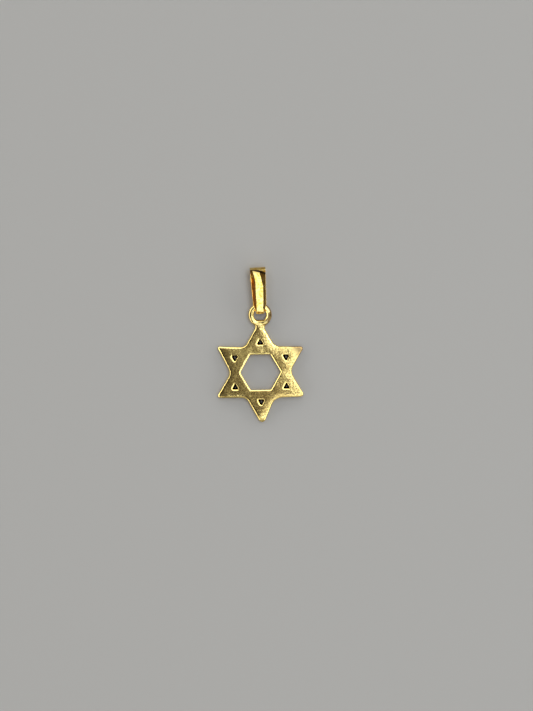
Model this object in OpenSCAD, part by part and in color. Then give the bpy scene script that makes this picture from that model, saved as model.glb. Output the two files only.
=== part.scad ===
/* [Star plate] */
// Distance from the middle of the star to a sharp point, before the points are blunted
point_reach = 7.2; // [6:0.1:9]
// Thickness of the plate
plate_t = 0.8; // [0.5:0.05:1.2]
// Rounding radius of a blunted point
point_round = 0.36; // [0.2:0.02:0.6]
// Rounding radius of the notch between two points
notch_round = 1.3; // [0.5:0.1:2]

/* [Openings] */
// Distance from the middle to a flat side of the six-sided opening
opening_apothem = 2.48; // [1.5:0.02:2.8]
// Rounding radius of its corners
opening_round = 0.3; // [0.1:0.05:0.6]
// Side of a small three-sided hole, sharp corner to sharp corner
hole_side = 1.3; // [0.8:0.05:1.6]
// Band of metal between the six-sided opening and the base of a small hole
hole_band = 1.3; // [0.9:0.05:1.5]
// Rounding radius of a small hole's corners
hole_round = 0.14; // [0.05:0.01:0.2]

/* [Hanging ring] */
// Inside diameter of the ring
ring_bore = 1.8; // [1.4:0.1:2.6]
// Thickness of its round wire
ring_wire = 0.74; // [0.5:0.02:1]
// How far the ring's wire overlaps the top point, measured from where its sharp tip would be
ring_seat = 0.78; // [0.5:0.02:1.1]
// How far the ring sits to the right of the middle of the top point
ring_side = 0.08; // [-0.2:0.02:0.2]
// Radius of the solder fillet between the ring and the top point
solder_round = 0.45; // [0.3:0.05:1.2]
// How far the solder rises inside the ring
solder_fill = 0.16; // [0.04:0.02:0.3]

/* [Bail] */
// Length from the top bend to the closed end
bail_len = 6.55; // [5:0.05:9]
// Width across the top bend
bail_top_w = 2.2; // [1.8:0.02:3.2]
// Width at the shoulders, where the bail meets the ring
bail_low_w = 1.82; // [1.6:0.02:2.2]
// Height of the loop at the top bend
bail_depth = 1.95; // [1.7:0.05:3]
// Thickness of the bail's sheet
sheet_t = 0.34; // [0.2:0.02:0.5]
// Room between the ring's wire and the bail's legs
bail_play = 0.1; // [0.06:0.01:0.2]
// Room between the ring's wire and the bail's closed end
end_play = 0.42; // [0.1:0.02:0.6]
// Depth that the flat of the front is cut below the round of the bends
flat_cut = 0.05; // [0.02:0.01:0.08]
// Width of the left bevel
bevel_left_w = 0.48; // [0.3:0.02:0.7]
// Width of the right bevel
bevel_right_w = 0.42; // [0.2:0.02:0.6]
// Slope of the bevels, away from the flat
bevel_slope = 24; // [10:1:35]
// Lean of the bail to the left
bail_lean = 2.4; // [-6:0.2:6]

/* [Hidden] */
$fn = 96;
over = 1;            // how far a cutter reaches past what it cuts
arc_step = 9;        // degrees between points on a rounded corner
gold_satin = [0.83, 0.72, 0.38];
gold_bright = [0.95, 0.79, 0.42];

// The star's sharp corners, anticlockwise from the top point. The first column is the corner's reach
// as a share of a true star's, the second its swing in degrees, and the third its rounding as a share
// of the named radius. They are uneven because the plate was filed by hand.
corners = [
    [1.01, 0, 1.0],     // top point, under the ring
    [1.00, 1, 0.8],
    [0.99, -1.5, 0.6],  // upper left point
    [1.01, 0.5, 1.0],
    [1.00, -1, 0.9],    // lower left point
    [0.99, 0, 0.8],
    [1.06, 1, 1.4],     // bottom point
    [0.98, -2, 1.3],
    [0.99, 0.5, 1.0],   // lower right point
    [1.00, 1.5, 1.1],
    [0.99, -0.5, 0.8],  // upper right point
    [1.00, -0.5, 1.1]
];
function reach(corner) = corner[0];
function swing(corner) = corner[1];
function rounding(corner) = corner[2];

// Sharp corners of a regular star and of a polygon with the same number of sides
notch_reach = point_reach / sqrt(3);
function on_circle(reach, angle) = [reach * cos(angle), reach * sin(angle)];
function ngon(count, reach, first) = [for (k = [0:count - 1]) on_circle(reach, first + k * 360 / count)];

// Rounded outline: each corner is replaced by an arc that touches both of its sides
function unit(v) = v / norm(v);
function turn(a, b) = (b - a + 540) % 360 - 180;
function bearing(v) = atan2(v[1], v[0]);
function arc(middle, r, start, sweep) =
    let (steps = ceil(abs(sweep) / arc_step))
    [for (i = [0:steps]) middle + on_circle(r, start + sweep * i / steps)];
function corner_arc(before, at, after, r) =
    let (to_before = unit(before - at), to_after = unit(after - at))
    let (half = acos(to_before * to_after) / 2)
    let (middle = at + unit(to_before + to_after) * r / sin(half))
    let (start = bearing(at + to_before * r / tan(half) - middle))
    arc(middle, r, start, turn(start, bearing(at + to_after * r / tan(half) - middle)));
function rounded(points, radii) =
    let (n = len(points))
    [for (k = [0:n - 1]) each corner_arc(points[(k + n - 1) % n], points[k], points[(k + 1) % n], radii[k])];

// Star: places and sizes that follow from the named ones
function is_point(k) = k % 2 == 0;
star_corners = [for (k = [0:len(corners) - 1])
    on_circle((is_point(k) ? point_reach : notch_reach) * reach(corners[k]), 90 + 30 * k + swing(corners[k]))];
star_radii = [for (k = [0:len(corners) - 1])
    (is_point(k) ? point_round : notch_round) * rounding(corners[k])];
star_outline = rounded(star_corners, star_radii);
hole_base = opening_apothem + hole_band;
hole_reach = hole_side / sqrt(3);                  // from the hole's middle to its corner
hole_middle = hole_base + hole_reach / 2;

// Hanging ring: soldered at the plate's mid-height, and leaning up so that the bail's back leg
// passes under its wire and lies on the same surface as the star
wire_r = ring_wire / 2;
ring_r = ring_bore / 2 + wire_r;                   // middle of the wire
ring_low = point_reach - ring_seat + wire_r;       // where the middle of the wire meets the point
wire_high = sheet_t + bail_play + wire_r;          // height of the wire that the bail holds
ring_tilt = asin((wire_high - plate_t / 2) / (2 * ring_r));
wire_top = ring_low + 2 * ring_r * cos(ring_tilt);

// Solder fillets: on each side a circle that touches the ring's outside and that side of the top point
ring_middle = [ring_side, ring_low + ring_r];
ring_out = ring_r + wire_r;
function side_normal(side) = [side * cos(30), sin(30)];
function side_down(side) = [side * sin(30), -cos(30)];
function fillet(side) =
    let (start = [0, point_reach] + side_normal(side) * solder_round)
    let (from_ring = start - ring_middle, near = from_ring * side_down(side))
    let (way = sqrt(near * near - from_ring * from_ring + pow(ring_out + solder_round, 2)) - near)
    start + side_down(side) * way;
function fillet_on_point(side) = fillet(side) - side_normal(side) * solder_round;
function fillet_on_ring(side) = ring_middle + unit(fillet(side) - ring_middle) * ring_out;

// Bail: lengths along it are counted from the middle of the wire that it holds
end_r = wire_high;                                 // outside radius of the closed end
bend_r = bail_depth / 2;                           // outside radius of the top bend
end_at = sheet_t + end_play + wire_r;              // how far the closed end reaches past the wire
end_aside = end_at * sin(abs(bail_lean));          // how far the lean moves the closed end sideways
end_room = sqrt(pow(ring_bore / 2, 2) - pow(ring_bore / 2 - end_play / 2, 2));
end_half_w = end_room - end_aside;                 // fits inside the ring
end_middle = end_r - end_at;
bend_middle = bail_len - end_at - bend_r;
front_rise = 2 * atan((bend_r - end_r) / (bend_middle - end_middle));
shoulder = wire_r / 2;
bend_top = bail_len - end_at;
bend_corner = bend_r / 3;                          // rounding of its corners, seen from the front
end_corner = end_r / 3;

// The object's middle line from end to end, which is put at the origin
low_end = min([for (p = star_outline) p[1]]);
high_end = wire_top + bend_corner + (bend_top - bend_corner) * cos(bail_lean)
    + (bail_top_w / 2 - bend_corner) * sin(abs(bail_lean));
mid_y = (high_end + low_end) / 2;

module plate() {
    difference() {
        linear_extrude(plate_t) polygon(star_outline);
        translate([0, 0, -over]) linear_extrude(plate_t + 2 * over) openings();
    }
}

module openings() {
    polygon(rounded(ngon(6, opening_apothem / cos(30), 0), [for (k = [1:6]) opening_round]));
    for (k = [0:5]) {
        rotate(60 * k) translate([0, hole_middle])
            polygon(rounded(ngon(3, hole_reach, 90), [for (c = [1:3]) hole_round]));
    }
}

module solder() {
    translate([0, 0, plate_t / 2 - wire_r]) linear_extrude(ring_wire) {
        difference() {
            polygon([
                fillet_on_point(1), fillet_on_ring(1), [ring_side, ring_low],
                fillet_on_ring(-1), fillet_on_point(-1)
            ]);
            for (side = [-1, 1]) translate(fillet(side)) circle(solder_round);
        }
        intersection() {
            translate(ring_middle) circle(ring_r);
            translate([ring_side - ring_r, ring_low]) square([2 * ring_r, wire_r + solder_fill]);
        }
    }
}

module ring() {
    translate([ring_side, ring_low, plate_t / 2]) rotate([ring_tilt, 0, 0]) translate([0, ring_r, 0])
        rotate_extrude() translate([ring_r, 0]) circle(wire_r);
}

// Side outline of the bail's loop, smaller by an inset all round: the top bend, then the closed end
module loop_side(inset) {
    polygon([
        each arc([bend_middle, bend_r], bend_r - inset, -90, 180 + front_rise),
        each arc([end_middle, end_r], end_r - inset, 90 + front_rise, 180 - front_rise)
    ]);
}

module bail_front_outline() {
    top = [bail_top_w / 2, bend_top];
    low = [bail_low_w / 2, shoulder];
    end = [end_half_w, -end_at];
    polygon(rounded(
        [top, [-top[0], top[1]], [-low[0], low[1]], [-end[0], end[1]], end, low],
        [bend_corner, bend_corner, bend_r, end_corner, end_corner, bend_r]
    ));
}

// Cutter that takes one bevel off the front leg, from the edge of the flat outwards
module bevel_cut(side, bevel_w) {
    taper = atan((bail_top_w - bail_low_w) / 2 / (bend_top - shoulder));
    translate([side * (bail_top_w / 2 - bevel_w), bend_middle, 2 * bend_r - flat_cut])
        rotate([front_rise, 0, 0]) rotate([0, 0, -side * taper]) rotate([0, side * bevel_slope, 0])
            translate([side < 0 ? -bail_top_w : 0, -bail_len, 0])
                cube([bail_top_w, bail_len + bend_r, bail_depth]);
}

module bail_loop() {
    wide = bail_top_w + 2 * over;
    difference() {
        intersection() {
            rotate([90, 0, 90]) linear_extrude(wide, center = true) loop_side(0);
            translate([0, 0, -over]) linear_extrude(bail_depth + 2 * over) bail_front_outline();
        }
        rotate([90, 0, 90]) linear_extrude(wide, center = true) loop_side(sheet_t);
        translate([-wide / 2, bend_middle, 2 * bend_r - flat_cut]) rotate([front_rise, 0, 0])
            translate([0, -bail_len, 0]) cube([wide, bail_len + bend_r, bail_depth]);
        bevel_cut(-1, bevel_left_w);
        bevel_cut(1, bevel_right_w);
    }
}

module star() {
    color(gold_satin) translate([0, -mid_y, 0]) {
        plate();
        solder();
        ring();
    }
}

module bail() {
    color(gold_bright) translate([ring_side, wire_top - mid_y, 0]) rotate(bail_lean) bail_loop();
}

star();
bail();
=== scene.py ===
import math
import bpy
import numpy as np
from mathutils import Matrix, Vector
from mathutils.geometry import delaunay_2d_cdt


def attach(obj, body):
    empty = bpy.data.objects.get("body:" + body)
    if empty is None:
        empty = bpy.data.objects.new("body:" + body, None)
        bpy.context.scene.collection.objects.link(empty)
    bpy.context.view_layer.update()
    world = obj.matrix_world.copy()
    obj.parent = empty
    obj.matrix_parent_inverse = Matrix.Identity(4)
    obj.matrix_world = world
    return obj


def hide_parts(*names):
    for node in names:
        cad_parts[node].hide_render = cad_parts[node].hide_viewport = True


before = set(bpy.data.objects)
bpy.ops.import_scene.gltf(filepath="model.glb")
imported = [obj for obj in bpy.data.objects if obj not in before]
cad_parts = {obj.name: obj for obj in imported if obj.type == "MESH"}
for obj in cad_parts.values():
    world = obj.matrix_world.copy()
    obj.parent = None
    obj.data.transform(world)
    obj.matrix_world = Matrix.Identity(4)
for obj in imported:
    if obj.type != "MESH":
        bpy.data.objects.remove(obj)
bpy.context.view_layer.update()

mm = 0.001
tiny = 1e-9


# Small helpers for outlines, in millimetres

def onCircle(radius, degrees):
    # Radius times the cosine and sine of the bearing
    angle = np.radians(degrees)
    return np.stack([radius * np.cos(angle), radius * np.sin(angle)], axis=-1)


def bearing(step):
    # Degrees anticlockwise from straight right
    return math.degrees(math.atan2(step[1], step[0]))


def unit(step):
    # Each vector over its own length
    return step / np.linalg.norm(step, axis=-1, keepdims=True)


def ease(share):
    # Smooth step: 3 t squared minus 2 t cubed, held at 0 and 1 outside
    t = np.clip(share, 0, 1)
    return t * t * (3 - 2 * t)


def roundedMin(a, b, soft):
    # The lesser of two heights, with the corner between them rounded off
    return -soft * np.logaddexp(-a / soft, -b / soft)


def arcPoints(middle, radius, start, sweep, gap):
    # The bearing runs evenly from start through the sweep, in steps about a gap long
    count = max(3, math.ceil(abs(math.radians(sweep)) * radius / gap))
    return middle + onCircle(radius, start + sweep * np.linspace(0, 1, count + 1))


def turnFrom(a, b):
    # The shorter way round from one bearing to another
    return (b - a + 540) % 360 - 180


def cornerArc(before, at, after, radius, gap):
    # An arc that touches both sides: its middle is on the bisector, at the radius over the sine of half
    # the corner
    back, onward = unit(before - at), unit(after - at)
    half = math.acos(float(back @ onward)) / 2
    middle = at + unit(back + onward) * radius / math.sin(half)
    reach = radius / math.tan(half)
    start = bearing(at + back * reach - middle)
    return arcPoints(middle, radius, start, turnFrom(start, bearing(at + onward * reach - middle)), gap)


def roundedLoop(corners, radii, gap):
    # Each corner of a polygon gives way to its arc
    count = len(corners)
    return np.vstack([
        cornerArc(corners[k - 1], corners[k], corners[(k + 1) % count], radii[k], gap)
        for k in range(count)
    ])


def evenLoop(points, gap):
    # The same closed line in even steps: each coordinate is read off against the length walked
    closed = np.vstack([points, points[:1]])
    walked = np.concatenate([[0], np.cumsum(np.linalg.norm(np.diff(closed, axis=0), axis=1))])
    at = np.linspace(0, walked[-1], round(walked[-1] / gap), endpoint=False)
    return np.stack([np.interp(at, walked, closed[:, k]) for k in (0, 1)], axis=1)


def leftOf(loop):
    # Unit vector to the left of the way walked, from the neighbours on both sides
    step = unit(np.roll(loop, -1, axis=0) - np.roll(loop, 1, axis=0))
    return np.stack([-step[:, 1], step[:, 0]], axis=1)


def softened(loop, passes):
    # Each point moves halfway to the mean of its two neighbours, again and again
    for _ in range(passes):
        loop = 0.5 * loop + 0.25 * (np.roll(loop, 1, axis=0) + np.roll(loop, -1, axis=0))
    return loop


def inParts(points, size=1500):
    # Short runs of points, so that a table of each against a whole loop stays small
    return np.array_split(points, max(1, math.ceil(len(points) / size)))


def awayFrom(points, loop):
    # Distance from each point to the nearest point of a loop
    return np.concatenate([
        np.sqrt(((part[:, None, :] - loop[None, :, :]) ** 2).sum(axis=2).min(axis=1))
        for part in inParts(points)
    ])


def insideLoops(points, loops):
    # A point is in the metal when a line to its right crosses the outlines an odd number of times
    crossed = np.zeros(len(points), int)
    for loop in loops:
        x0, y0 = loop.T
        x1, y1 = np.roll(loop, -1, axis=0).T
        lean = (x1 - x0) / np.where(abs(y1 - y0) < tiny, tiny, y1 - y0)
        counts = []
        for part in inParts(points):
            x, y = part[:, :1], part[:, 1:]
            counts.append((((y0 > y) != (y1 > y)) & (x < x0 + (y - y0) * lean)).sum(axis=1))
        crossed += np.concatenate(counts)
    return crossed % 2 == 1


def ripple(x, y, wavelength, seed, waves=7, shortest=0.7, longest=1.5, high=2.6):
    # Gentle unevenness, about -1 to 1: the sum of plane waves in seeded directions, over its height
    dice = np.random.default_rng(seed)
    heading = dice.uniform(0, 2 * np.pi, waves)
    length = wavelength * dice.uniform(shortest, longest, waves)
    phase = dice.uniform(0, 2 * np.pi, waves)
    along = x[..., None] * np.cos(heading) + y[..., None] * np.sin(heading)
    return np.sin(2 * np.pi * along / length + phase).sum(axis=-1) / high


def newObject(name, data):
    thing = bpy.data.objects.new(name, data)
    bpy.context.scene.collection.objects.link(thing)
    return thing


def makePiece(name, points, faces, marks, material):
    # Points in millimetres become a smooth mesh in metres, with one number per point for each mark
    mesh = bpy.data.meshes.new(name)
    mesh.from_pydata((points * mm).tolist(), [], faces)
    mesh.update()
    mesh.polygons.foreach_set("use_smooth", np.ones(len(mesh.polygons), bool))
    for mark, values in marks.items():
        layer = mesh.attributes.new(mark, "FLOAT", "POINT")
        layer.data.foreach_set("value", np.asarray(values, np.float32))
    mesh.materials.append(material)
    return newObject(name, mesh)


# Node helpers

def newMaterial(name):
    # A material with one shader and its output
    material = bpy.data.materials.new(name)
    material.use_nodes = True
    tree = material.node_tree
    tree.nodes.clear()
    shader = tree.nodes.new("ShaderNodeBsdfPrincipled")
    output = tree.nodes.new("ShaderNodeOutputMaterial")
    tree.links.new(shader.outputs["BSDF"], output.inputs["Surface"])
    return material, tree, shader


def feed(tree, socket, value):
    # Links another node's output into a socket, or sets a plain value
    if isinstance(value, bpy.types.NodeSocket):
        tree.links.new(value, socket)
    else:
        socket.default_value = value


def addNode(tree, kind, values=None, **settings):
    node = tree.nodes.new("ShaderNode" + kind)
    for key, value in settings.items():
        setattr(node, key, value)
    for socket, value in (values or {}).items():
        feed(tree, node.inputs[socket], value)
    return node


def markOf(tree, name):
    # One of the numbers that a piece's points carry
    return addNode(tree, "Attribute", attribute_name=name).outputs["Fac"]


def noiseAt(tree, place, scale, detail=2.0, rough=0.5, stretch=None, twist=0.0):
    # A noise pattern whose blotches are about one over scale metres wide
    if stretch:
        turned = {"Vector": place, "Scale": stretch, "Rotation": (0, 0, twist)}
        place = addNode(tree, "Mapping", turned).outputs[0]
    values = {"Vector": place, "Scale": scale, "Detail": detail, "Roughness": rough}
    return addNode(tree, "TexNoise", values).outputs["Fac"]


def spread(tree, value, low, high, toLow, toHigh):
    # Spreads low..high over toLow..toHigh and holds the ends
    values = {"Value": value, "From Min": low, "From Max": high, "To Min": toLow, "To Max": toHigh}
    return addNode(tree, "MapRange", values, clamp=True).outputs["Result"]


def sumOf(tree, a, b, kind="ADD"):
    # The sum of two values, or what else the kind of sum says
    node = addNode(tree, "Math", operation=kind)
    for socket, value in zip(node.inputs, (a, b)):
        feed(tree, socket, value)
    return node.outputs[0]


def blendColours(tree, share, first, second):
    # The first colour at a share of 0 and the second at 1
    node = addNode(tree, "Mix", data_type="RGBA")
    sockets = [s for s in node.inputs if s.type == "RGBA"]
    tree.links.new(share, node.inputs["Factor"])
    for socket, value in zip(sockets, (first, second)):
        feed(tree, socket, value)
    return [s for s in node.outputs if s.type == "RGBA"][0]


def metal(tree, shader, colour, roughness, height, strength, distance):
    # Bare metal with a bump worked out from a pattern's height
    relief = {"Height": height, "Strength": strength, "Distance": distance}
    normal = addNode(tree, "Bump", relief).outputs["Normal"]
    shader.inputs["Metallic"].default_value = 1.0
    for socket, value in (("Base Color", colour), ("Roughness", roughness), ("Normal", normal)):
        tree.links.new(value, shader.inputs[socket])


# Finishes

noiseSpan = (0.3, 0.7)          # a noise pattern mostly lies between these

satinGold = {
    "pale": (0.93, 0.71, 0.24, 1),  # clean gold
    "deep": (0.51, 0.35, 0.105, 1),  # darker gold: stains and mottling, and the face's painted shade patches
    "grimeAndShade": (0.17, 0.095, 0.045, 1),  # specks left in the pits, and painted shade on walls, in holes and on the ring
    "plateRough": (0.11, 0.17),  # satin face, least and most
    "polishRough": (0.07, 0.13),  # ring and worn rims
    # stains, grain, mottling, specks and file marks: blotches over a metre, how much finer they go,
    # then roughness, stretch and turn
    "noise": [(900, 3), (3400, 1.5), (4300, 1.5), (5000, 1), (1600, 1, 0.5, (0.25, 1.6, 1), 0.5)],
    # how each pattern darkens: its value from and to, then the darker tone's share from and to
    "stains": (0.35, 0.65, 0, 0.35),
    "mottling": (0.42, 0.59, 0, 0.9),
    "specks": (0.54, 0.68, 0, 0.55),
    "fileShare": 0.35,          # file marks beside the grain
    "bump": (1.0, 0.000011),    # strength, and metres
}


def makeSatinGold():
    # Darker share: stains plus mottling, plus the face's painted sheen and shade patches, on satin
    # only. Specks, and the painted shade on walls, in holes and on the ring, lie over it
    material, tree, shader = newMaterial("satinGold")
    place = addNode(tree, "TexCoord").outputs["Object"]
    names = ("polish", "rim", "paintedShade", "paintedSheenAndShade")
    polish, rim, paintedShade, paintedSheenAndShade = (markOf(tree, name) for name in names)
    noises = (noiseAt(tree, place, *kind) for kind in satinGold["noise"])
    blotch, grain, mottle, speck, fileMarks = noises
    satin = sumOf(tree, 1, sumOf(tree, polish, rim, "MAXIMUM"), "SUBTRACT")
    stained = spread(tree, blotch, *satinGold["stains"])
    mottled = spread(tree, mottle, *satinGold["mottling"])
    # the face patches add painted sheen and painted shade to the darker share
    share = sumOf(tree, sumOf(tree, sumOf(tree, stained, mottled), paintedSheenAndShade), satin, "MULTIPLY")
    share = sumOf(tree, sumOf(tree, share, 0, "MAXIMUM"), 1, "MINIMUM")
    tone = blendColours(tree, share, satinGold["pale"], satinGold["deep"])
    specks = spread(tree, speck, *satinGold["specks"])
    darkening = sumOf(tree, specks, sumOf(tree, paintedSheenAndShade, 1), "MULTIPLY")
    darkening = sumOf(tree, darkening, satin, "MULTIPLY")
    # painted shade on the walls, in the small holes and on the ring's outside
    darkening = sumOf(tree, darkening, paintedShade, "MAXIMUM")
    colour = blendColours(tree, darkening, tone, satinGold["grimeAndShade"])
    faceRough = spread(tree, grain, *noiseSpan, *satinGold["plateRough"])
    ringRough = spread(tree, blotch, *noiseSpan, *satinGold["polishRough"])
    mixed = {"Factor": satin, "A": ringRough, "B": faceRough}
    roughness = addNode(tree, "Mix", mixed, data_type="FLOAT").outputs[0]
    relief = sumOf(tree, grain, sumOf(tree, fileMarks, satinGold["fileShare"], "MULTIPLY"))
    height = sumOf(tree, relief, satin, "MULTIPLY")
    metal(tree, shader, colour, roughness, height, *satinGold["bump"])
    return material


polishedGold = {
    "pale": (0.93, 0.69, 0.23, 1),  # clean gold
    "warm": (0.74, 0.43, 0.06, 1),  # gold under a thin red tarnish, and the painted warm reflection on the left bevel
    "darkening": (0.05, 0.03, 0.012, 1),  # painted shade in the crease under the top bend and over the bend
    "rough": (0.07, 0.16),      # least and most
    # stains, grain, scuffs and pits, each as in the satin gold
    "noise": [(1300, 3), (5000, 3, 0.6), (3000, 2, 0.5, (2.4, 0.25, 1), 0.1), (3400, 1.5)],
    # how each pattern tarnishes: its value from and to, then the warm tone's share from and to
    "stains": (0.4, 0.68, 0, 0.5),
    "pits": (0.47, 0.68, 0, 0.9),
    "scuffShare": 0.15,         # scuffs and pits beside the stains, in the relief
    "pitShare": 0.3,
    "bump": (0.5, 0.00003),     # strength, and metres
}


def makePolishedGold():
    # Warm share: stains plus pits as tarnish, or the left bevel's painted warm reflection where that is
    # more. The painted shade in the crease and over the top bend lies over it
    material, tree, shader = newMaterial("polishedGold")
    place = addNode(tree, "TexCoord").outputs["Object"]
    blotch, grain, scuffs, pits = (noiseAt(tree, place, *kind) for kind in polishedGold["noise"])
    stained = spread(tree, blotch, *polishedGold["stains"])
    tarnishAndReflection = sumOf(tree, stained, spread(tree, pits, *polishedGold["pits"]))
    # the left bevel's warm colour is a painted reflection
    tarnishAndReflection = sumOf(tree, tarnishAndReflection, markOf(tree, "bevel"), "MAXIMUM")
    colour = blendColours(tree, tarnishAndReflection, polishedGold["pale"], polishedGold["warm"])
    # painted shade in the crease and over the top bend
    colour = blendColours(tree, markOf(tree, "paintedFoldShade"), colour, polishedGold["darkening"])
    roughness = spread(tree, grain, *noiseSpan, *polishedGold["rough"])
    height = sumOf(tree, blotch, sumOf(tree, scuffs, polishedGold["scuffShare"], "MULTIPLY"))
    height = sumOf(tree, height, sumOf(tree, pits, polishedGold["pitShare"], "MULTIPLY"), "SUBTRACT")
    metal(tree, shader, colour, roughness, height, *polishedGold["bump"])
    return material


# The star, its hanging ring and the solder between them: one soldered form

star = {
    "pointReach": 7.2,          # sharp point to middle
    "thickness": 0.8,
    "pointRound": 0.36,
    "notchRound": 1.3,
    # reach share, swing in degrees and rounding share of each corner, anticlockwise from the top
    "corners": [
        [1.01, 0, 1.0], [1.00, 1, 0.8], [0.99, -1.5, 0.6], [1.01, 0.5, 1.0],
        [1.00, -1, 0.9], [0.99, 0, 0.8], [1.06, 1, 1.4], [0.98, -2, 1.3],
        [0.99, 0.5, 1.0], [1.00, 1.5, 1.1], [0.99, -0.5, 0.8], [1.00, -0.5, 1.1],
    ],
    "hexApothem": 2.48,
    "hexRound": 0.3,
    "holeSide": 1.3,
    "holeBand": 1.3,
    "holeRound": 0.22,
    "holeWorn": 0.09,           # how far the worn edge of a small hole reaches into it
    "holeTaper": 0.25,          # how much the small holes narrow towards the back, on each side
    "wallShade": (0.35, 0.92),  # painted shade on the outer walls, and in the small holes
    "shadeRows": (2.5, 1.5),    # it starts this many rows before the wall, over so many rows
    "wornSide": (-0.86, -0.51),  # edges facing away from this are the less worn
    "wornFade": (0.5, 0.9),     # share halfway between the two sides, and how steeply it changes
    # least wear of the outline, the six-sided opening, the small holes and the bore
    "leastWorn": [1, 0.85, 0.3, 0.3, 0.3, 0.3, 0.3, 0.3, 1],
    "wearUneven": (0.05, 0.9, 5),  # how much the wear varies, over what length, and seed
    "crispEdge": 0.2,           # wear on the lower edges right of the bottom point
    "crispFrom": (0.5, 0.8),    # how far right of the middle they start, and how softly
    "crispFacing": (0.6, 0.25),  # how far their inner side faces up, and how softly
    "ringBore": 1.8,
    "ringWire": 0.74,
    "ringSeat": 0.78,
    "ringSide": 0.08,           # how far the ring sits to the right of the point
    "solderRound": 0.45,
    "solderFill": 0.16,
    "solderSmooth": 24,         # passes that round off where the solder meets the bore
    "wireFrom": (0.1, 1.0),     # the section turns round this far under the neck, over this length
    "reliefEnds": 0.2,          # the face's relief fades out this much sooner
    "ringLean": 9.289,          # degrees, so that the bail's back leg passes under the wire
    "leanLength": 0.7,          # the neck bends over this length
    "leanTable": (4, 600),      # it is worked out this far past the neck, at so many stops
    # the worn front edge: distance in from the outline, and how far it lies below the face
    "frontEdge": [
        (0.16, 0), (0.153, 0.001), (0.146, 0.003), (0.138, 0.007), (0.13, 0.012), (0.11, 0.028),
        (0.09, 0.045), (0.066, 0.066), (0.04, 0.088), (0.015, 0.12), (0, 0.17),
    ],
    "backRound": 0.16,
    "rimWidth": (0.18, 0.04),   # the polished rim's width, and how softly it ends
    "polishFrom": (0.1, 0.7),   # the ring's polish starts this far past the neck, over this much
    "crown": [(0.045, 0.38), (0.035, 1.1)],  # depth and width of the buffed slopes inside the outline
    "innerCrown": (0.016, 0.34),  # the same beside the six-sided opening
    "innerCrownFrom": (1.1, 0.7),  # where that starts beside the middle, and how softly
    "dome": 0.18,               # the points lie this much lower than the middle
    "tipBend": (-5.7, 0.24),    # the bottom point bends down from here, by this slope for a millimetre
    # painted shade outside on the right of the ring: bearing, half its spread, how softly it ends, how
    # much
    "ringShade": (-16, 38, 12, 0.8),
    "ringShadeFrom": (-0.2, 0.12),  # where it starts across the wire, and how softly
    "ringEdgeShade": (0.1, 0.14, 0.85),  # painted shade on the wire's outside: from, width, how much
    "ringEdgeLeft": (0.5, 0.4, 0.65),  # less of it on the left: from, over what width, how much
    # patches of the face painted darker or lighter, painted shade and sheen: right, up, half width and
    # amount
    "paintedSheenAndShade": [
        (0, 3.2, 1.3, -0.6), (-2.8, 2.9, 1.4, -0.7), (4.9, 3.0, 1.2, -0.6), (0.3, -3.4, 1.7, 0.6),
        (0.2, -5.4, 0.9, 0.3), (0.4, -6.9, 0.8, -1.0), (2.6, -2.7, 1.2, 0.5), (3.2, 0.4, 1.0, 0.3),
    ],
    # a flat on the left of the ring: bearing, half its spread, how steeply it ends, tilt and depth
    "ringTop": (190, 45, 1.6, 12, 0.022),
    "wearSoft": 0.003,          # softness of the edges of those flats
    # the ring is worn flat in places: bearing round the ring, then tilt and depth of the flat outside,
    # and tilt and depth of the one inside
    "ringWear": [
        (-180, 39, 0.006, 20, 0.014), (-150, 39, 0.006, 18, 0.018), (-120, 39, 0.008, 12, 0.035),
        (-100, 30, 0.004, 10, 0.04), (-75, 10, 0.01, 10, 0.04), (-50, 10, 0.03, 30, 0.008),
        (-38, 12, 0.03, 36, 0.01), (-26, 22, 0.04, 38, 0.010), (16, 22, 0.04, 38, 0.010),
        (26, 12, 0.035, 38, 0.006), (62, 10, 0.035, 30, 0.002), (100, 38, 0.006, 20, 0),
        (150, 39, 0.006, 20, 0.012), (180, 39, 0.006, 20, 0.014),
    ],
    # rows of the round wire, in degrees off its front and off its back
    "frontRows": [3, 9, 15, 21, 27, 33, 40, 48, 58, 72, 90],
    "backRows": [4, 18, 32, 46, 60, 75, 90],
    "uneven": (0.004, 1.5, 11),  # depth, spacing and seed of the hand-finished unevenness
    "gap": 0.05,                # between points along an outline
    "holeGap": 0.8,             # share of that between points round a small hole
    "faceGap": 0.1,             # between points on the faces
    "faceClear": 0.6,           # share of that between those points and the rims
    "fieldSide": 7.2,           # their field reaches this far to each side
    "fieldUp": (-8, 10),        # and from here to here upwards
    "weld": 1e-7,               # points of the filled face closer than this are one
}
midLine = 3.87831               # the middle of the whole pendant, from the middle of the star


def starCorners():
    # Points and notches by turns, each on its own bearing: a notch is as far out as a point over root 3
    number = np.arange(12)
    sharp = number % 2 == 0
    longer, swing, rounder = np.array(star["corners"]).T
    reach = np.where(sharp, star["pointReach"], star["pointReach"] / math.sqrt(3)) * longer
    radii = np.where(sharp, star["pointRound"], star["notchRound"]) * rounder
    return onCircle(reach, 90 + 30 * number + swing), radii


def filletCircle(foot, tip, ringMiddle, ringOut, radius):
    # Middle of the circle that touches the ring and the side from foot to tip: one radius off the side,
    # then along it until the ring's middle is ringOut plus radius away
    along = unit(tip - foot)
    off = np.array([along[1], -along[0]])
    off = off * np.sign(off[0] * foot[0])
    base = tip + off * radius
    toRing = base - ringMiddle
    half = float(toRing @ along)
    rest = float(toRing @ toRing) - (ringOut + radius) ** 2
    return base + along * (-half - math.sqrt(half * half - rest)), off


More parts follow.
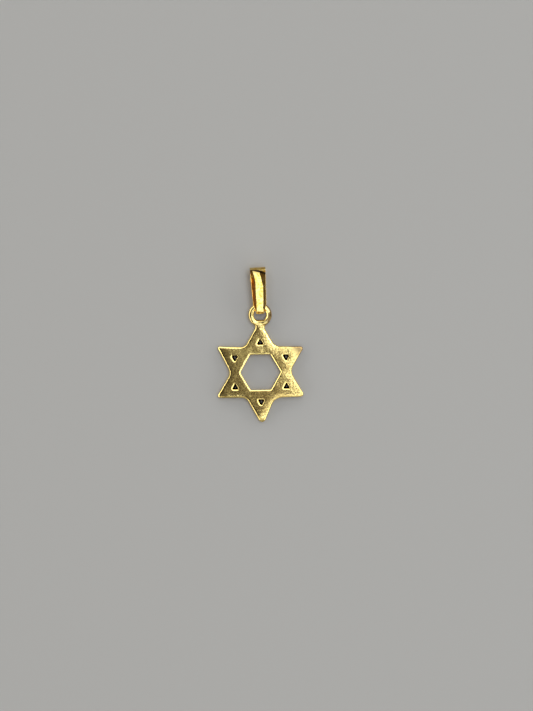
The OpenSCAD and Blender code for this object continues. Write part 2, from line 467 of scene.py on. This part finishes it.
def outerOutline():
    # The filed star anticlockwise, with its top point running through two solder fillets into the ring
    corners, radii = starCorners()
    gap = star["gap"] / 2
    solder = star["solderRound"]
    ringOut = star["ringBore"] / 2 + star["ringWire"]
    ringMiddle = np.array([star["ringSide"], star["pointReach"] - star["ringSeat"] + ringOut])
    runs = [
        cornerArc(corners[k - 1], corners[k], corners[(k + 1) % 12], radii[k], gap)
        for k in range(1, 12)
    ]
    rightMid, rightOff = filletCircle(corners[11], corners[0], ringMiddle, ringOut, solder)
    leftMid, leftOff = filletCircle(corners[1], corners[0], ringMiddle, ringOut, solder)
    start = bearing(-rightOff)
    sweep = turnFrom(start, bearing(ringMiddle - rightMid))
    runs.append(arcPoints(rightMid, solder, start, sweep, gap))
    start = bearing(rightMid - ringMiddle)
    sweep = (bearing(leftMid - ringMiddle) - start) % 360
    runs.append(arcPoints(ringMiddle, ringOut, start, sweep, gap))
    start = bearing(ringMiddle - leftMid)
    sweep = turnFrom(start, bearing(-leftOff))
    runs.append(arcPoints(leftMid, solder, start, sweep, gap))
    return evenLoop(np.vstack(runs), star["gap"]), ringMiddle


def openingOutlines(ringMiddle):
    # The six-sided opening, six three-sided holes round it, and the ring's bore with solder in its foot
    gap = star["gap"] / 2
    hexReach = star["hexApothem"] / math.cos(math.radians(30))
    hexagon = roundedLoop(onCircle(hexReach, 60 * np.arange(6)), [star["hexRound"]] * 6, gap)
    reach = star["holeSide"] / math.sqrt(3)
    middle = star["hexApothem"] + star["holeBand"] + reach / 2
    holes = []
    for k in range(6):
        towards = 90 + 60 * k
        corners = onCircle(middle, towards) + onCircle(reach, towards + 120 * np.arange(3))
        hole = roundedLoop(corners, [star["holeRound"]] * 3, gap / 2)
        hole = evenLoop(hole, star["gap"] * star["holeGap"])
        inside = leftOf(hole)
        holes.append(hole + inside * star["holeWorn"] * wornShare(-inside, star["leastWorn"][2]))
    bore = ringMiddle + onCircle(star["ringBore"] / 2, np.arange(0, 360, 2.0))
    floorLine = ringMiddle[1] - star["ringBore"] / 2 + star["solderFill"]
    bore[:, 1] = np.maximum(bore[:, 1], floorLine)
    bore = softened(evenLoop(bore, star["gap"]), star["solderSmooth"])
    return [evenLoop(hexagon, star["gap"]), *holes, bore]


def wornShare(towardsMetal, least):
    # An edge is worn in full on the worn side of an opening, and by the least share across from it
    halfway, steep = star["wornFade"]
    side = ease(halfway + steep * towardsMetal @ np.array(star["wornSide"]))
    return (least + (1 - least) * side)[:, None]


def wornWire(towardsMetal, place, ringMiddle, psi):
    # The round wire, cut by a flat outside and one inside, each at its tilt and set in by its depth.
    # A flat's height is the radius less the depth, over the tilt's cosine, less the way across times
    # its tangent
    radius = star["ringWire"] / 2
    out = place - ringMiddle
    around = np.degrees(np.arctan2(out[:, 1], out[:, 0]))
    table = np.array(star["ringWear"]).T
    outer, outerDepth, inner, innerDepth = (np.interp(around, table[0], column) for column in table[1:])
    across = radius * np.sin(psi)[:, None]
    outwards = np.where(np.sum(out * towardsMetal, axis=1) < 0, across, -across)
    height = np.repeat(radius * np.cos(psi)[:, None], len(place), axis=1)
    middle, halfSpread, steep, topTilt, topDepth = star["ringTop"]
    topDepth = topDepth * ease(steep * (1 - abs((around - middle + 180) % 360 - 180) / halfSpread))
    cut = height
    for tilt, depth, way in (
        (outer, outerDepth, outwards), (inner, innerDepth, -outwards), (topTilt, topDepth, outwards),
    ):
        turn = np.radians(tilt)
        cut = roundedMin(cut, (radius - depth) / np.cos(turn) - way * np.tan(turn), star["wearSoft"])
    return radius - across, np.where(height > 0, cut, height)


def leanUp(points):
    # The flat pattern is bent at the neck: y and height are the running sums of the cosine and sine of
    # the lean reached so far, and the thickness stands square to it
    seat = star["pointReach"] - star["ringSeat"] + star["ringWire"] / 2
    start = seat - star["leanLength"] / 2
    far, count = star["leanTable"]
    table = np.linspace(start, seat + far, count)
    lean = math.radians(star["ringLean"]) * ease((table - start) / star["leanLength"])
    step = table[1] - table[0]
    yTable = start + np.concatenate([[0], np.cumsum(np.cos((lean[1:] + lean[:-1]) / 2)) * step])
    zTable = np.concatenate([[0], np.cumsum(np.sin((lean[1:] + lean[:-1]) / 2)) * step])
    u, v, w = points.T
    turn = np.interp(v, table, lean)
    y = np.where(v < start, v, np.interp(v, table, yTable)) - w * np.sin(turn)
    z = np.interp(v, table, zTable) + w * np.cos(turn) + star["thickness"] / 2
    return np.stack([u, y - midLine, z], axis=1)


def buildStar(material):
    # Every outline carries the same profile: the worn front edge, the wall, and a quarter round to the
    # back. Front and back are then filled with triangles between the innermost rows
    outer, ringMiddle = outerOutline()
    openings = openingOutlines(ringMiddle)
    loops = [outer, *openings]
    smallHoles = range(2, 8)
    inward = [leftOf(outer), *[-leftOf(loop) for loop in openings]]
    wire = star["ringWire"] / 2
    neck = star["pointReach"] - star["ringSeat"]
    under, turnsOver = star["wireFrom"]

    def toRing(v):
        # 0 on the plate, 1 on the ring's round wire
        return ease((v - (neck - under)) / turnsOver)

    def halfThick(v):
        return star["thickness"] / 2 + (wire - star["thickness"] / 2) * toRing(v)

    # Rows of the profile on the plate and on the ring: distance in from the outline, and height
    front = np.array(star["frontEdge"]).T[:, :, None]
    wallRow = front.shape[1]
    turns = [np.radians(star["frontRows"]), np.pi - np.radians(star["backRows"])[::-1]]
    psi = np.concatenate(turns)
    turnBack = star["backRound"] * (1 - np.stack([np.sin(turns[1]), -np.cos(turns[1])]))
    half = star["thickness"] / 2
    rows, starts, awayOwn = [], [], []
    total = 0
    for number, (loop, normal) in enumerate(zip(loops, inward)):
        share = toRing(loop[:, 1])
        varies, *waves = star["wearUneven"]
        worn = wornShare(normal, star["leastWorn"][number]).T * (1 + varies * ripple(*loop.T, *waves))
        if number == 0:
            crispFrom, crispSoft = star["crispFrom"]
            onRight = ease((loop[:, 0] - crispFrom) / crispSoft)
            facingFrom, facingSoft = star["crispFacing"]
            facingUp = ease((normal[:, 1] - facingFrom) / facingSoft)
            worn = worn * (1 - (1 - star["crispEdge"]) * (onRight * facingUp))
        back = np.repeat(turnBack[:, :, None], len(loop), axis=2)
        if number in smallHoles:
            back[0] -= star["holeTaper"]
        inset = np.concatenate([front[0] * worn, back[0]])
        height = np.concatenate([half - front[1] * worn, back[1] - half])
        onRing = wornWire(normal, loop, ringMiddle, psi)
        inset = inset * (1 - share) + onRing[0] * share
        height = height * (1 - share) + onRing[1] * share
        flat = loop[None] + normal[None] * inset[..., None]
        rows.append(np.dstack([flat, height]).reshape(-1, 3))
        awayOwn.append(inset.reshape(-1))
        starts.append(total)
        total += len(rows[-1])
    rims = [row[:len(loop), :2] for row, loop in zip(rows, loops)]

    # An even field of points, like a honeycomb, fills the faces
    gap = star["faceGap"]
    gx, gy = np.meshgrid(np.arange(-star["fieldSide"], star["fieldSide"], gap),
                         np.arange(*star["fieldUp"], gap * math.sqrt(3) / 2))
    gx[1::2] += gap / 2
    field = np.stack([gx.ravel(), gy.ravel()], axis=1)
    field = field[insideLoops(field, rims)]
    awayAll = np.min([awayFrom(field, rim) for rim in rims], axis=0)
    clear = awayAll > star["faceClear"] * gap
    field, awayAll = field[clear], awayAll[clear]

    flat = np.vstack([*rims, field])
    edges, base = [], 0
    for rim in rims:
        k = np.arange(len(rim))
        edges.append(np.stack([base + k, base + (k + 1) % len(rim)], axis=1))
        base += len(rim)
    asVectors = [Vector(p) for p in flat.tolist()]
    result = delaunay_2d_cdt(asVectors, np.vstack(edges).tolist(), [], 0, star["weld"])
    triangles = np.array(result[2])
    cameFrom = np.array([ids[0] for ids in result[3]])
    triangles = cameFrom[triangles]
    triangles = triangles[insideLoops(flat[triangles].mean(axis=1), rims)]
    a, b, c = (flat[triangles[:, k]] for k in range(3))
    area = (b[:, 0] - a[:, 0]) * (c[:, 1] - a[:, 1]) - (c[:, 0] - a[:, 0]) * (b[:, 1] - a[:, 1])
    triangles[area < 0] = triangles[area < 0][:, ::-1]

    half = halfThick(field[:, 1])
    pattern = np.vstack([*rows, np.column_stack([field, half]), np.column_stack([field, -half])])
    firstRows = [start + np.arange(len(loop)) for start, loop in zip(starts, loops)]
    lastRows = [row + (len(psi) - 1) * len(row) for row in firstRows]
    inField = total + np.arange(len(field))
    frontOf = np.concatenate([*firstRows, inField])
    backOf = np.concatenate([*lastRows, inField + len(field)])

    # The front is buffed down towards the outer edge, domed a little and uneven; the back stays flat
    place = pattern[:, :2]
    onPlate = 1 - toRing(pattern[:, 1] + star["reliefEnds"])
    fromEdge = awayFrom(place, outer)
    lowered = sum(depth * np.clip(1 - fromEdge / width, 0, 1) ** 2 for depth, width in star["crown"])
    depth, width = star["innerCrown"]
    besideFrom, besideSoft = star["innerCrownFrom"]
    beside = ease((abs(place[:, 0]) - besideFrom) / besideSoft)
    lowered += depth * beside * np.clip(1 - awayFrom(place, loops[1]) / width, 0, 1) ** 2
    lowered += star["dome"] * (place ** 2).sum(axis=1) / star["pointReach"] ** 2
    depth, *waves = star["uneven"]
    lowered += depth * (1 + ripple(*place.T, *waves))
    bendFrom, bendSlope = star["tipBend"]
    lowered += bendSlope / 2 * np.maximum(bendFrom - place[:, 1], 0) ** 2
    share = (pattern[:, 2] / halfThick(pattern[:, 1]) + 1) / 2
    pattern[:, 2] -= lowered * share * onPlate

    faces = [frontOf[triangles], backOf[triangles][:, ::-1]]
    for number, (start, loop) in enumerate(zip(starts, loops)):
        count = len(loop)
        k = np.arange(count)
        onward = (k + 1) % count
        row = start + np.arange(len(psi) - 1)[:, None] * count
        quads = np.stack([row + k, row + onward, row + count + onward, row + count + k], axis=-1)
        quads = quads.reshape(-1, 4)
        faces.append(quads[:, ::-1] if number == 0 else quads)

    # Marks for the finish: polished ring, worn rims, painted shade on the walls, in the holes and on
    # the ring, and painted sheen and shade patches on the face
    within = awayAll + star["frontEdge"][0][0]
    away = np.concatenate([*awayOwn, within, within])
    rimWide, rimSoft = star["rimWidth"]
    past, polishOver = star["polishFrom"]
    rowsBefore, rowsOver = star["shadeRows"]
    # Painted shade: the walls darken towards the back, most in the small holes
    paintedShade = np.zeros(len(pattern))
    for number, (start, loop) in enumerate(zip(starts, loops)):
        wall = np.arange(len(psi)).repeat(len(loop))
        most = star["wallShade"][1 if number in smallHoles else 0]
        paintedShade[start:start + len(wall)] = most * ease((wall - wallRow + rowsBefore) / rowsOver)
    paintedShade *= onPlate
    # Painted shade on the outside of the ring's right side, and along the wire's outer edge
    out = place - ringMiddle
    beyond = np.linalg.norm(out, axis=1) - star["ringBore"] / 2 - wire
    middle, halfSpread, endSoft, most = star["ringShade"]
    ringShadeFrom, tarnishSoft = star["ringShadeFrom"]
    side = abs(np.degrees(np.arctan2(out[:, 1], out[:, 0])) - middle)
    cast = ease((halfSpread - side) / endSoft) * ease((beyond - ringShadeFrom) / tarnishSoft)
    paintedShade = np.maximum(paintedShade, most * cast)
    edgeFrom, edgeWidth, edgeMost = star["ringEdgeShade"]
    leftFrom, leftSoft, leftLess = star["ringEdgeLeft"]
    onLeft = 1 - leftLess * ease((-leftFrom - out[:, 0]) / leftSoft)
    edge = edgeMost * ease((beyond - edgeFrom) / edgeWidth) * onLeft * (1 - onPlate)
    marks = {
        "polish": ease((pattern[:, 1] - (neck + past)) / polishOver),
        "rim": ease((rimWide - away) / rimSoft),
        "paintedShade": np.maximum(paintedShade, edge),
        # painted sheen and shade patches on the face
        "paintedSheenAndShade": sum(
            amount * np.exp(-((place - [right, up]) ** 2).sum(axis=1) / wide ** 2)
            for right, up, wide, amount in star["paintedSheenAndShade"]
        ),
    }
    everyFace = sum([part.tolist() for part in faces], [])
    return makePiece("starPendant", leanUp(pattern), everyFace, marks, material)


# The bail: one strip folded into a long loop, with a filed flat and two bevels on its front leg

bail = {
    "length": 6.55,
    "topWidth": 2.2,
    "lowWidth": 1.82,
    "depth": 1.95,
    "sheet": 0.34,
    "cornerRound": 0.1,         # rounding of the corners of the top bend, seen from the front
    "play": 0.1,
    "endPlay": 0.42,
    "flatCut": 0.05,
    "roll": 4.5,                # degrees that the flat leans to the right
    "bevelSlope": (27, 21),     # degrees, left and right
    # distance from the edge to the flat at heights above the wire, on the left and on the right
    "heights": [-1.1, -0.7, -0.3, 0.2, 1.0, 1.8, 2.65, 3.5, 4.0, 4.4, 4.9],
    "leftBevel": [0.12, 0.16, 0.28, 0.40, 0.45, 0.48, 0.53, 0.56, 0.50, 0.42, 0.30],
    "rightBevel": [0.12, 0.18, 0.38, 0.44, 0.42, 0.41, 0.40, 0.60, 0.69, 0.83, 0.86],
    "uneven": (0.011, 0.75, 1.0, 3),  # depth, start, spacing and seed of the left bevel's filing
    "bevelBlend": 0.15,         # the left bevel takes up its filing and painted reflection over this width
    "bevelReflection": 0.9,        # painted warm reflection on the left bevel
    "foldAt": (4.82, -0.2, -0.06),  # where the top bend starts, its slant across and its curve
    "foldSteep": 1.1,           # steepness of the step up to the bend
    "foldFacet": (38, 60),      # degrees over the level where the bend is hammered flat, how far on
    "topLevel": 1.912,          # nothing on the top bend stands higher
    "creaseWide": (0.17, 0.11),  # width of the painted shade in the crease, and its gain to the right
    "creaseEnds": (0.9, 3),     # where that painted shade ends, in widths, and how steeply
    "creaseShade": (0.5, 0.5),  # painted shade below the crease, most and how far down
    "bendShade": (0.3, 1.5),     # painted shade on the top bend, and how steeply it fades over the bend
    "outerRound": (0.03, 0.02),  # left and right edge
    "edgeFacet": 38,            # degrees to which the left edge is worn, over the width of its round
    "innerRound": 0.03,
    "leastSheet": 0.14,
    "lean": 2.4,
    "soft": 0.012,              # softness of the filed edges
    "stops": (84, 110, 56, 40),  # on the top bend, front leg, closed end and back leg
    "edgeTurns": [0, 20, 40, 60, 90],  # degrees round an edge, one for each column
    "besideBreak": [-0.05, -0.025, -0.01, 0, 0.01, 0.025, 0.05],  # columns near a bevel's break
    "columns": (4, 9, 9),       # across a bevel, the flat and the inside
    "insideFlat": 0.9,          # those on the inside reach this far out
}
glancing = 0.05                 # a plane that meets the strip's square at less than this is never met
never = 9


def hinge(x, soft):
    # Zero below 0 and x above it, with a rounded corner
    return soft * np.logaddexp(0, x / soft)


def loopPath():
    # Once round the loop seen from the side: top bend, front leg, closed end, back leg. Each stop has
    # its place on the outside and the direction square to the strip
    wire = star["ringWire"] / 2
    endR = bail["sheet"] + bail["play"] + wire
    bendR = bail["depth"] / 2
    endAt = bail["sheet"] + bail["endPlay"] + wire
    endMid = np.array([endR - endAt, endR])
    bendMid = np.array([bail["length"] - endAt - bendR, bendR])
    rise = 2 * math.degrees(math.atan((bendR - endR) / (bendMid[0] - endMid[0])))
    onBend, onFront, onEnd, onBack = bail["stops"]
    stops, square = [], []

    def addArc(middle, radius, start, sweep, count):
        angles = start + sweep * np.linspace(0, 1, count, endpoint=False)
        square.append(onCircle(1, angles))
        stops.append(middle + onCircle(radius, angles))

    def addLeg(first, last, direction, count):
        share = np.linspace(0, 1, count, endpoint=False)[:, None]
        stops.append(first + (last - first) * share)
        square.append(np.repeat(onCircle(1, np.array([direction])), count, axis=0))

    front = 90 + rise
    back = 270
    addArc(bendMid, bendR, -90, 180 + rise, onBend)
    addLeg(bendMid + onCircle(bendR, front), endMid + onCircle(endR, front), front, onFront)
    addArc(endMid, endR, front, 180 - rise, onEnd)
    addLeg(endMid + onCircle(endR, back), bendMid + onCircle(bendR, back), back, onBack)
    return np.vstack(stops), np.vstack(square), bendMid, rise, endAt


def halfWidths(y, endAt):
    # Half the bail's width seen from the front, read off its rounded outline
    bendR = bail["depth"] / 2
    endR = bail["sheet"] + bail["play"] + star["ringWire"] / 2
    bore = star["ringBore"] / 2
    endRoom = math.sqrt(bore ** 2 - (bore - bail["endPlay"] / 2) ** 2)
    endHalf = endRoom - endAt * math.sin(math.radians(bail["lean"]))
    top = bail["length"] - endAt
    low = star["ringWire"] / 4
    corners = np.array([
        [0, top], [-bail["topWidth"] / 2, top], [-bail["lowWidth"] / 2, low],
        [-endHalf, -endAt], [0, -endAt],
    ])
    rounds = (bail["cornerRound"], bendR, endR / 3)
    side = np.vstack([cornerArc(*corners[k:k + 3], radius, 0.01) for k, radius in enumerate(rounds)])
    order = np.argsort(side[:, 1], kind="stable")
    return np.interp(y, side[order, 1], -side[order, 0])


def buildBail(material):
    # The strip's section is carried round the loop: each point is a stop on the inside, plus the way
    # across, plus the direction square to the strip times the height there. Then the whole loop leans
    stops, square, bendMid, rise, endAt = loopPath()
    inner = stops - square * bail["sheet"]
    facing = onCircle(1, 90 + rise)  # square to the filed flat
    turned = square @ facing
    deep = (bail["depth"] / 2 - bail["flatCut"]) * math.cos(math.radians(rise))
    wideOut = halfWidths(stops[:, 0], endAt)
    wideIn = np.minimum(halfWidths(inner[:, 0], endAt), wideOut)
    leftBreak = -wideOut + np.interp(stops[:, 0], bail["heights"], bail["leftBevel"])
    rightBreak = wideOut - np.interp(stops[:, 0], bail["heights"], bail["rightBevel"])

    # Columns across the strip: left edge, left bevel, flat, right bevel and right edge on the outside,
    # then back on the inside. Between two knots there are as many columns as "between" says
    (rLeft, rRight), ri = bail["outerRound"], bail["innerRound"]
    turnIn = 1 - np.cos(np.radians(bail["edgeTurns"]))
    near = bail["besideBreak"]
    outerKnots = np.column_stack(
        [-wideOut + rLeft * t for t in turnIn] + [leftBreak + n for n in near]
        + [rightBreak + n for n in near] + [wideOut - rRight * t for t in turnIn[::-1]])
    onBevels, onFlat, onInside = bail["columns"]
    edgeSteps, breakSteps = [1] * (len(turnIn) - 1), [1] * (len(near) - 1)
    between = [*edgeSteps, onBevels, *breakSteps, onFlat, *breakSteps, onBevels, *edgeSteps]
    at = np.concatenate([k + np.arange(n) / n for k, n in enumerate(between)] + [[len(between)]])
    low = np.minimum(at.astype(int), len(between) - 1)
    xOut = outerKnots[:, low] * (1 - (at - low)) + outerKnots[:, low + 1] * (at - low)
    spreadIn = np.linspace(bail["insideFlat"], -bail["insideFlat"], onInside)
    shareIn = np.concatenate([1 - turnIn * ri, spreadIn, -(1 - turnIn[::-1] * ri)])
    xIn = wideIn[:, None] * shareIn[None]

    # Height of the outside over the inside: the sheet, or the filed planes where they cut deeper, up to
    # the fold. Where they would cut through, the sheet is pressed in from behind
    slopes = [math.tan(math.radians(angle)) for angle in bail["bevelSlope"]]
    bendR = bail["depth"] / 2
    facetFrom, facetFar = bail["foldFacet"]
    past = np.degrees(np.arctan2(square[:, 1], square[:, 0])) - facetFrom
    bent = (past > 0) & (past < facetFar) & (stops[:, 0] >= bendMid[0])
    facet = 1 / np.cos(np.radians(np.clip(past, 0, facetFar)))
    upwards = np.maximum(square[:, 1], 0.1)  # held off zero where the bend stands upright
    level = (bail["topLevel"] / bendR - 1) / upwards
    whole = np.where(bent, bendR * (np.minimum(facet, level) - 1), 0) + bail["sheet"]
    innerRise = ((inner - bendMid) @ facing)[:, None]

    def alongSquare(need, gain):
        # Length along the strip's square at which a plane is met; a plane that falls away is never met
        return np.where(gain > glancing, need / np.maximum(gain, glancing), never)

    def outside(x):
        plane = deep - slopes[0] * hinge(leftBreak[:, None] - x, bail["soft"])
        plane = plane - slopes[1] * hinge(x - rightBreak[:, None], bail["soft"])
        plane = plane - math.tan(math.radians(bail["roll"])) * (x + bail["topWidth"] / 2)
        onBevel = ease((leftBreak[:, None] - x) / bail["bevelBlend"])
        filed, start, *waves = bail["uneven"]
        along = np.broadcast_to(stops[:, :1] - start, x.shape)
        plane = plane - filed * onBevel * ripple(x, along, *waves)
        flat = alongSquare(plane - innerRise, turned[:, None])
        foldMiddle, foldSlant, foldCurve = bail["foldAt"]
        foldAt = foldMiddle + foldSlant * x + foldCurve * x ** 2
        step = alongSquare(plane + bail["foldSteep"] * (inner[:, :1] - foldAt) - innerRise,
                           turned[:, None] - bail["foldSteep"] * square[:, :1])
        front = square[:, 1:] > 0
        reach = np.where(front, np.maximum(flat, step), never)
        high = roundedMin(np.broadcast_to(whole[:, None], reach.shape), reach, bail["soft"])
        # Painted shade: a dark line in the crease, more below it and over the top bend
        creaseMiddle, creaseGain = bail["creaseWide"]
        wide = creaseMiddle + creaseGain * x
        ends, steep = bail["creaseEnds"]
        past = (stops[:, :1] - foldAt) / wide
        line = ease(steep * (past + ends)) * ease(steep * (ends - past))
        most, down = bail["creaseShade"]
        bendMost, steep = bail["bendShade"]
        bendShadeShare = bendMost * ease(past) * ease(steep * square[:, 1:])
        shade = np.where(past > 0, bendShadeShare, most * ease(1 + past * wide / down))
        # Painted reflection: the warm colour on the left bevel
        paintedReflection = np.where(front & (past < 0), bail["bevelReflection"] * onBevel, 0)
        return high, np.where(front, np.maximum(line, shade), 0), paintedReflection

    high, paintedFoldShade, paintedReflection = outside(xOut)
    r = np.where(xOut < 0, rLeft, rRight)
    edge = np.clip(wideOut[:, None] - abs(xOut), 0, r)
    facetDrop = (r - edge) * (math.tan(math.radians(bail["edgeFacet"])) - slopes[0])
    high = high - np.where(xOut < 0, facetDrop, r - np.sqrt(np.maximum(r ** 2 - (r - edge) ** 2, 0)))
    edge = np.clip(wideIn[:, None] - abs(xIn), 0, ri)
    lowSide = np.minimum(0, outside(xIn)[0] - bail["leastSheet"])
    lowSide += ri - np.sqrt(np.maximum(ri ** 2 - (ri - edge) ** 2, 0))

    across = np.hstack([xOut, xIn])
    height = np.hstack([high, lowSide])
    side = inner[:, None, :] + square[:, None, :] * height[..., None]
    turn = math.radians(bail["lean"])
    x = across * math.cos(turn) - side[..., 0] * math.sin(turn)
    y = across * math.sin(turn) + side[..., 0] * math.cos(turn)
    wire = star["ringWire"] / 2
    seat = star["pointReach"] - star["ringSeat"] + wire
    wireTop = seat + 2 * (star["ringBore"] / 2 + wire) * math.cos(math.radians(star["ringLean"]))
    points = np.stack([x + star["ringSide"], y + wireTop - midLine, side[..., 1]], axis=-1)
    points = points.reshape(-1, 3)

    rows, columns = across.shape
    k = np.arange(rows)[:, None] * columns
    j = np.arange(columns)
    nextK = ((np.arange(rows) + 1) % rows)[:, None] * columns
    nextJ = (j + 1) % columns
    faces = np.stack([k + j, nextK + j, nextK + nextJ, k + nextJ], axis=-1).reshape(-1, 4)
    # the painted shade and the painted reflection lie on the outside only
    marks = {
        "paintedFoldShade": np.hstack([paintedFoldShade, np.zeros(xIn.shape)]).ravel(),
        "bevel": np.hstack([paintedReflection, np.zeros(xIn.shape)]).ravel(),
    }
    return makePiece("filedBail", points, faces.tolist(), marks, material)


print("stage: finishes")
satin = makeSatinGold()
polished = makePolishedGold()

print("stage: star")
starPiece = buildStar(satin)
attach(starPiece, "root")
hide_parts("star")

print("stage: bail")
bailPiece = buildBail(polished)
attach(bailPiece, "root")
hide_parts("bail")


# Floor, light and camera

studio = {
    "floor": (0.345, 0.333, 0.303, 1),
    "floorRough": 0.9,
    "floorShine": 0.2,
    "floorHalf": 1.5,           # metres from the pendant to an edge of the floor
    "floorDown": 1e-5,          # metres that the floor lies under the pendant
    # grey of the room by the sine of the height over the horizon
    "room": [(0.0, 0.6), (0.09, 1.0), (0.14, 3.4), (0.36, 3.4), (0.44, 0.3), (0.53, 0.04), (0.62, 0.04),
             (0.7, 0.1), (0.93, 0.07), (0.985, 0.19), (1.0, 0.22)],
    # the room is dimmer towards the picture's lower edge: from and to, then its share at each
    "frontShade": (-0.9, -0.62, 0.12, 1),
    # panels overhead: metres over the pendant, degrees off straight overhead from and to, to the right
    # and up the picture, then turn, glow and tint
    "overhead": {
        "key": (1.0, 4.1, 38, -30, 34, 20, 1.8, (0.9, 1, 1.2)),
        "keyEdge": (1.03, -5, 4.1, -30, 34, 20, 0.11),
        "front": (1.0, -3, 24, -30, -9, 0, 1.6, (0.9, 1, 1.2)),
        "lamp": (0.97, 20, 28, -8, 8, 42, 8),
    },
    # panels at the side: bearing, degrees over the floor, size in metres, glow and tint
    "beside": {
        "emberLeft": (182, 31, (0.5, 0.12), 0.6, (1, 0.3, 0)),
        "warmLeft": (182, 42, (0.5, 0.26), 0.17, (1, 0.27, 0)),
        "warmRight": (0, 40, (0.5, 0.3), 0.05, (1, 0.5, 0.1)),
        "fillFront": (270, 48, (2.0, 0.6), 0.65),
        "fillBack": (90, 48, (2.0, 0.6), 0.65),
    },
}


def makeFloor():
    # One level square, a hair under the pendant
    material, tree, shader = newMaterial("paleFloor")
    shader.inputs["Base Color"].default_value = studio["floor"]
    shader.inputs["Roughness"].default_value = studio["floorRough"]
    shader.inputs["Specular IOR Level"].default_value = studio["floorShine"]
    mesh = bpy.data.meshes.new("paleFloor")
    half, level = studio["floorHalf"], -studio["floorDown"]
    corners = [(-half, -half, level), (half, -half, level), (half, half, level), (-half, half, level)]
    mesh.from_pydata(corners, [], [(0, 1, 2, 3)])
    mesh.materials.append(material)
    floor = newObject("paleFloor", mesh)


def addPanel(name, size, place, facing, glow, colour):
    # A soft panel; its glow is what a mirror would show of it
    light = bpy.data.lights.new(name, "AREA")
    light.shape = "RECTANGLE"
    light.size, light.size_y = size
    light.energy = glow * math.pi * size[0] * size[1]
    light.color = colour
    panel = newObject(name, light)
    panel.location = place
    panel.rotation_euler = facing


def ceilingPanel(name, high, rightFrom, rightTo, upFrom, upTo, turn, glow, colour=(1, 1, 1)):
    # A flat panel overhead that spans these angles off the vertical, turned about the vertical
    x0, x1, y0, y1 = (high * math.tan(math.radians(a)) for a in (rightFrom, rightTo, upFrom, upTo))
    x, y, turn = (x0 + x1) / 2, (y0 + y1) / 2, math.radians(turn)
    c, s = math.cos(turn), math.sin(turn)
    addPanel(name, (x1 - x0, y1 - y0), (x * c - y * s, x * s + y * c, high), (0, 0, turn), glow, colour)


def sidePanel(name, bearingOf, height, size, glow, colour=(1, 1, 1)):
    # A panel one metre away that faces the pendant, from a bearing and an angle over the floor
    around, up = math.radians(bearingOf), math.radians(height)
    direction = Vector((math.cos(around) * math.cos(up), math.sin(around) * math.cos(up), math.sin(up)))
    addPanel(name, size, direction, direction.to_track_quat("Z", "Y").to_euler(), glow, colour)


def makeRoom():
    # The room's grey follows the height over the horizon
    world = bpy.data.worlds.new("room")
    world.use_nodes = True
    tree = world.node_tree
    place = addNode(tree, "TexCoord").outputs["Generated"]
    split = addNode(tree, "SeparateXYZ", {"Vector": place})
    ramp = addNode(tree, "ValToRGB", {"Fac": split.outputs["Z"]})
    stops = ramp.color_ramp.elements
    middle = [stops.new(at) for at, _ in studio["room"][1:-1]]
    for stop, (_, grey) in zip([stops[0], *middle, stops[len(stops) - 1]], studio["room"]):
        stop.color = (grey, grey, grey, 1)
    shade = spread(tree, split.outputs["Y"], *studio["frontShade"])
    tree.links.new(ramp.outputs["Color"], tree.nodes["Background"].inputs["Color"])
    tree.links.new(shade, tree.nodes["Background"].inputs["Strength"])
    bpy.context.scene.world = world


print("stage: floor, light and camera")
makeFloor()
makeRoom()
for name, panel in studio["overhead"].items():
    ceilingPanel(name, *panel)
for name, panel in studio["beside"].items():
    sidePanel(name, *panel)

view = {
    "height": 0.200,            # lens above the face of the star
    "scale": 7.1333,            # pixels of the photograph for a millimetre
    "frameHigh": 711,
    "roll": 1.1,                # degrees
    "centre": (0.872, -1.547),  # millimetres under the middle of the frame
    "sensor": 36,
    "nearest": 0.001,           # metres
}
cameraData = bpy.data.cameras.new("camera")
cameraData.sensor_fit = "VERTICAL"
cameraData.sensor_height = view["sensor"]
cameraData.lens = view["sensor"] * view["height"] * 1000 / (view["frameHigh"] / view["scale"])
cameraData.clip_start = view["nearest"]
camera = newObject("camera", cameraData)
right, up = view["centre"]
camera.location = (right * mm, up * mm, view["height"] + star["thickness"] * mm)
camera.rotation_euler = (0, 0, -math.radians(view["roll"]))
bpy.context.scene.camera = camera
bpy.context.scene.view_settings.view_transform = "Standard"
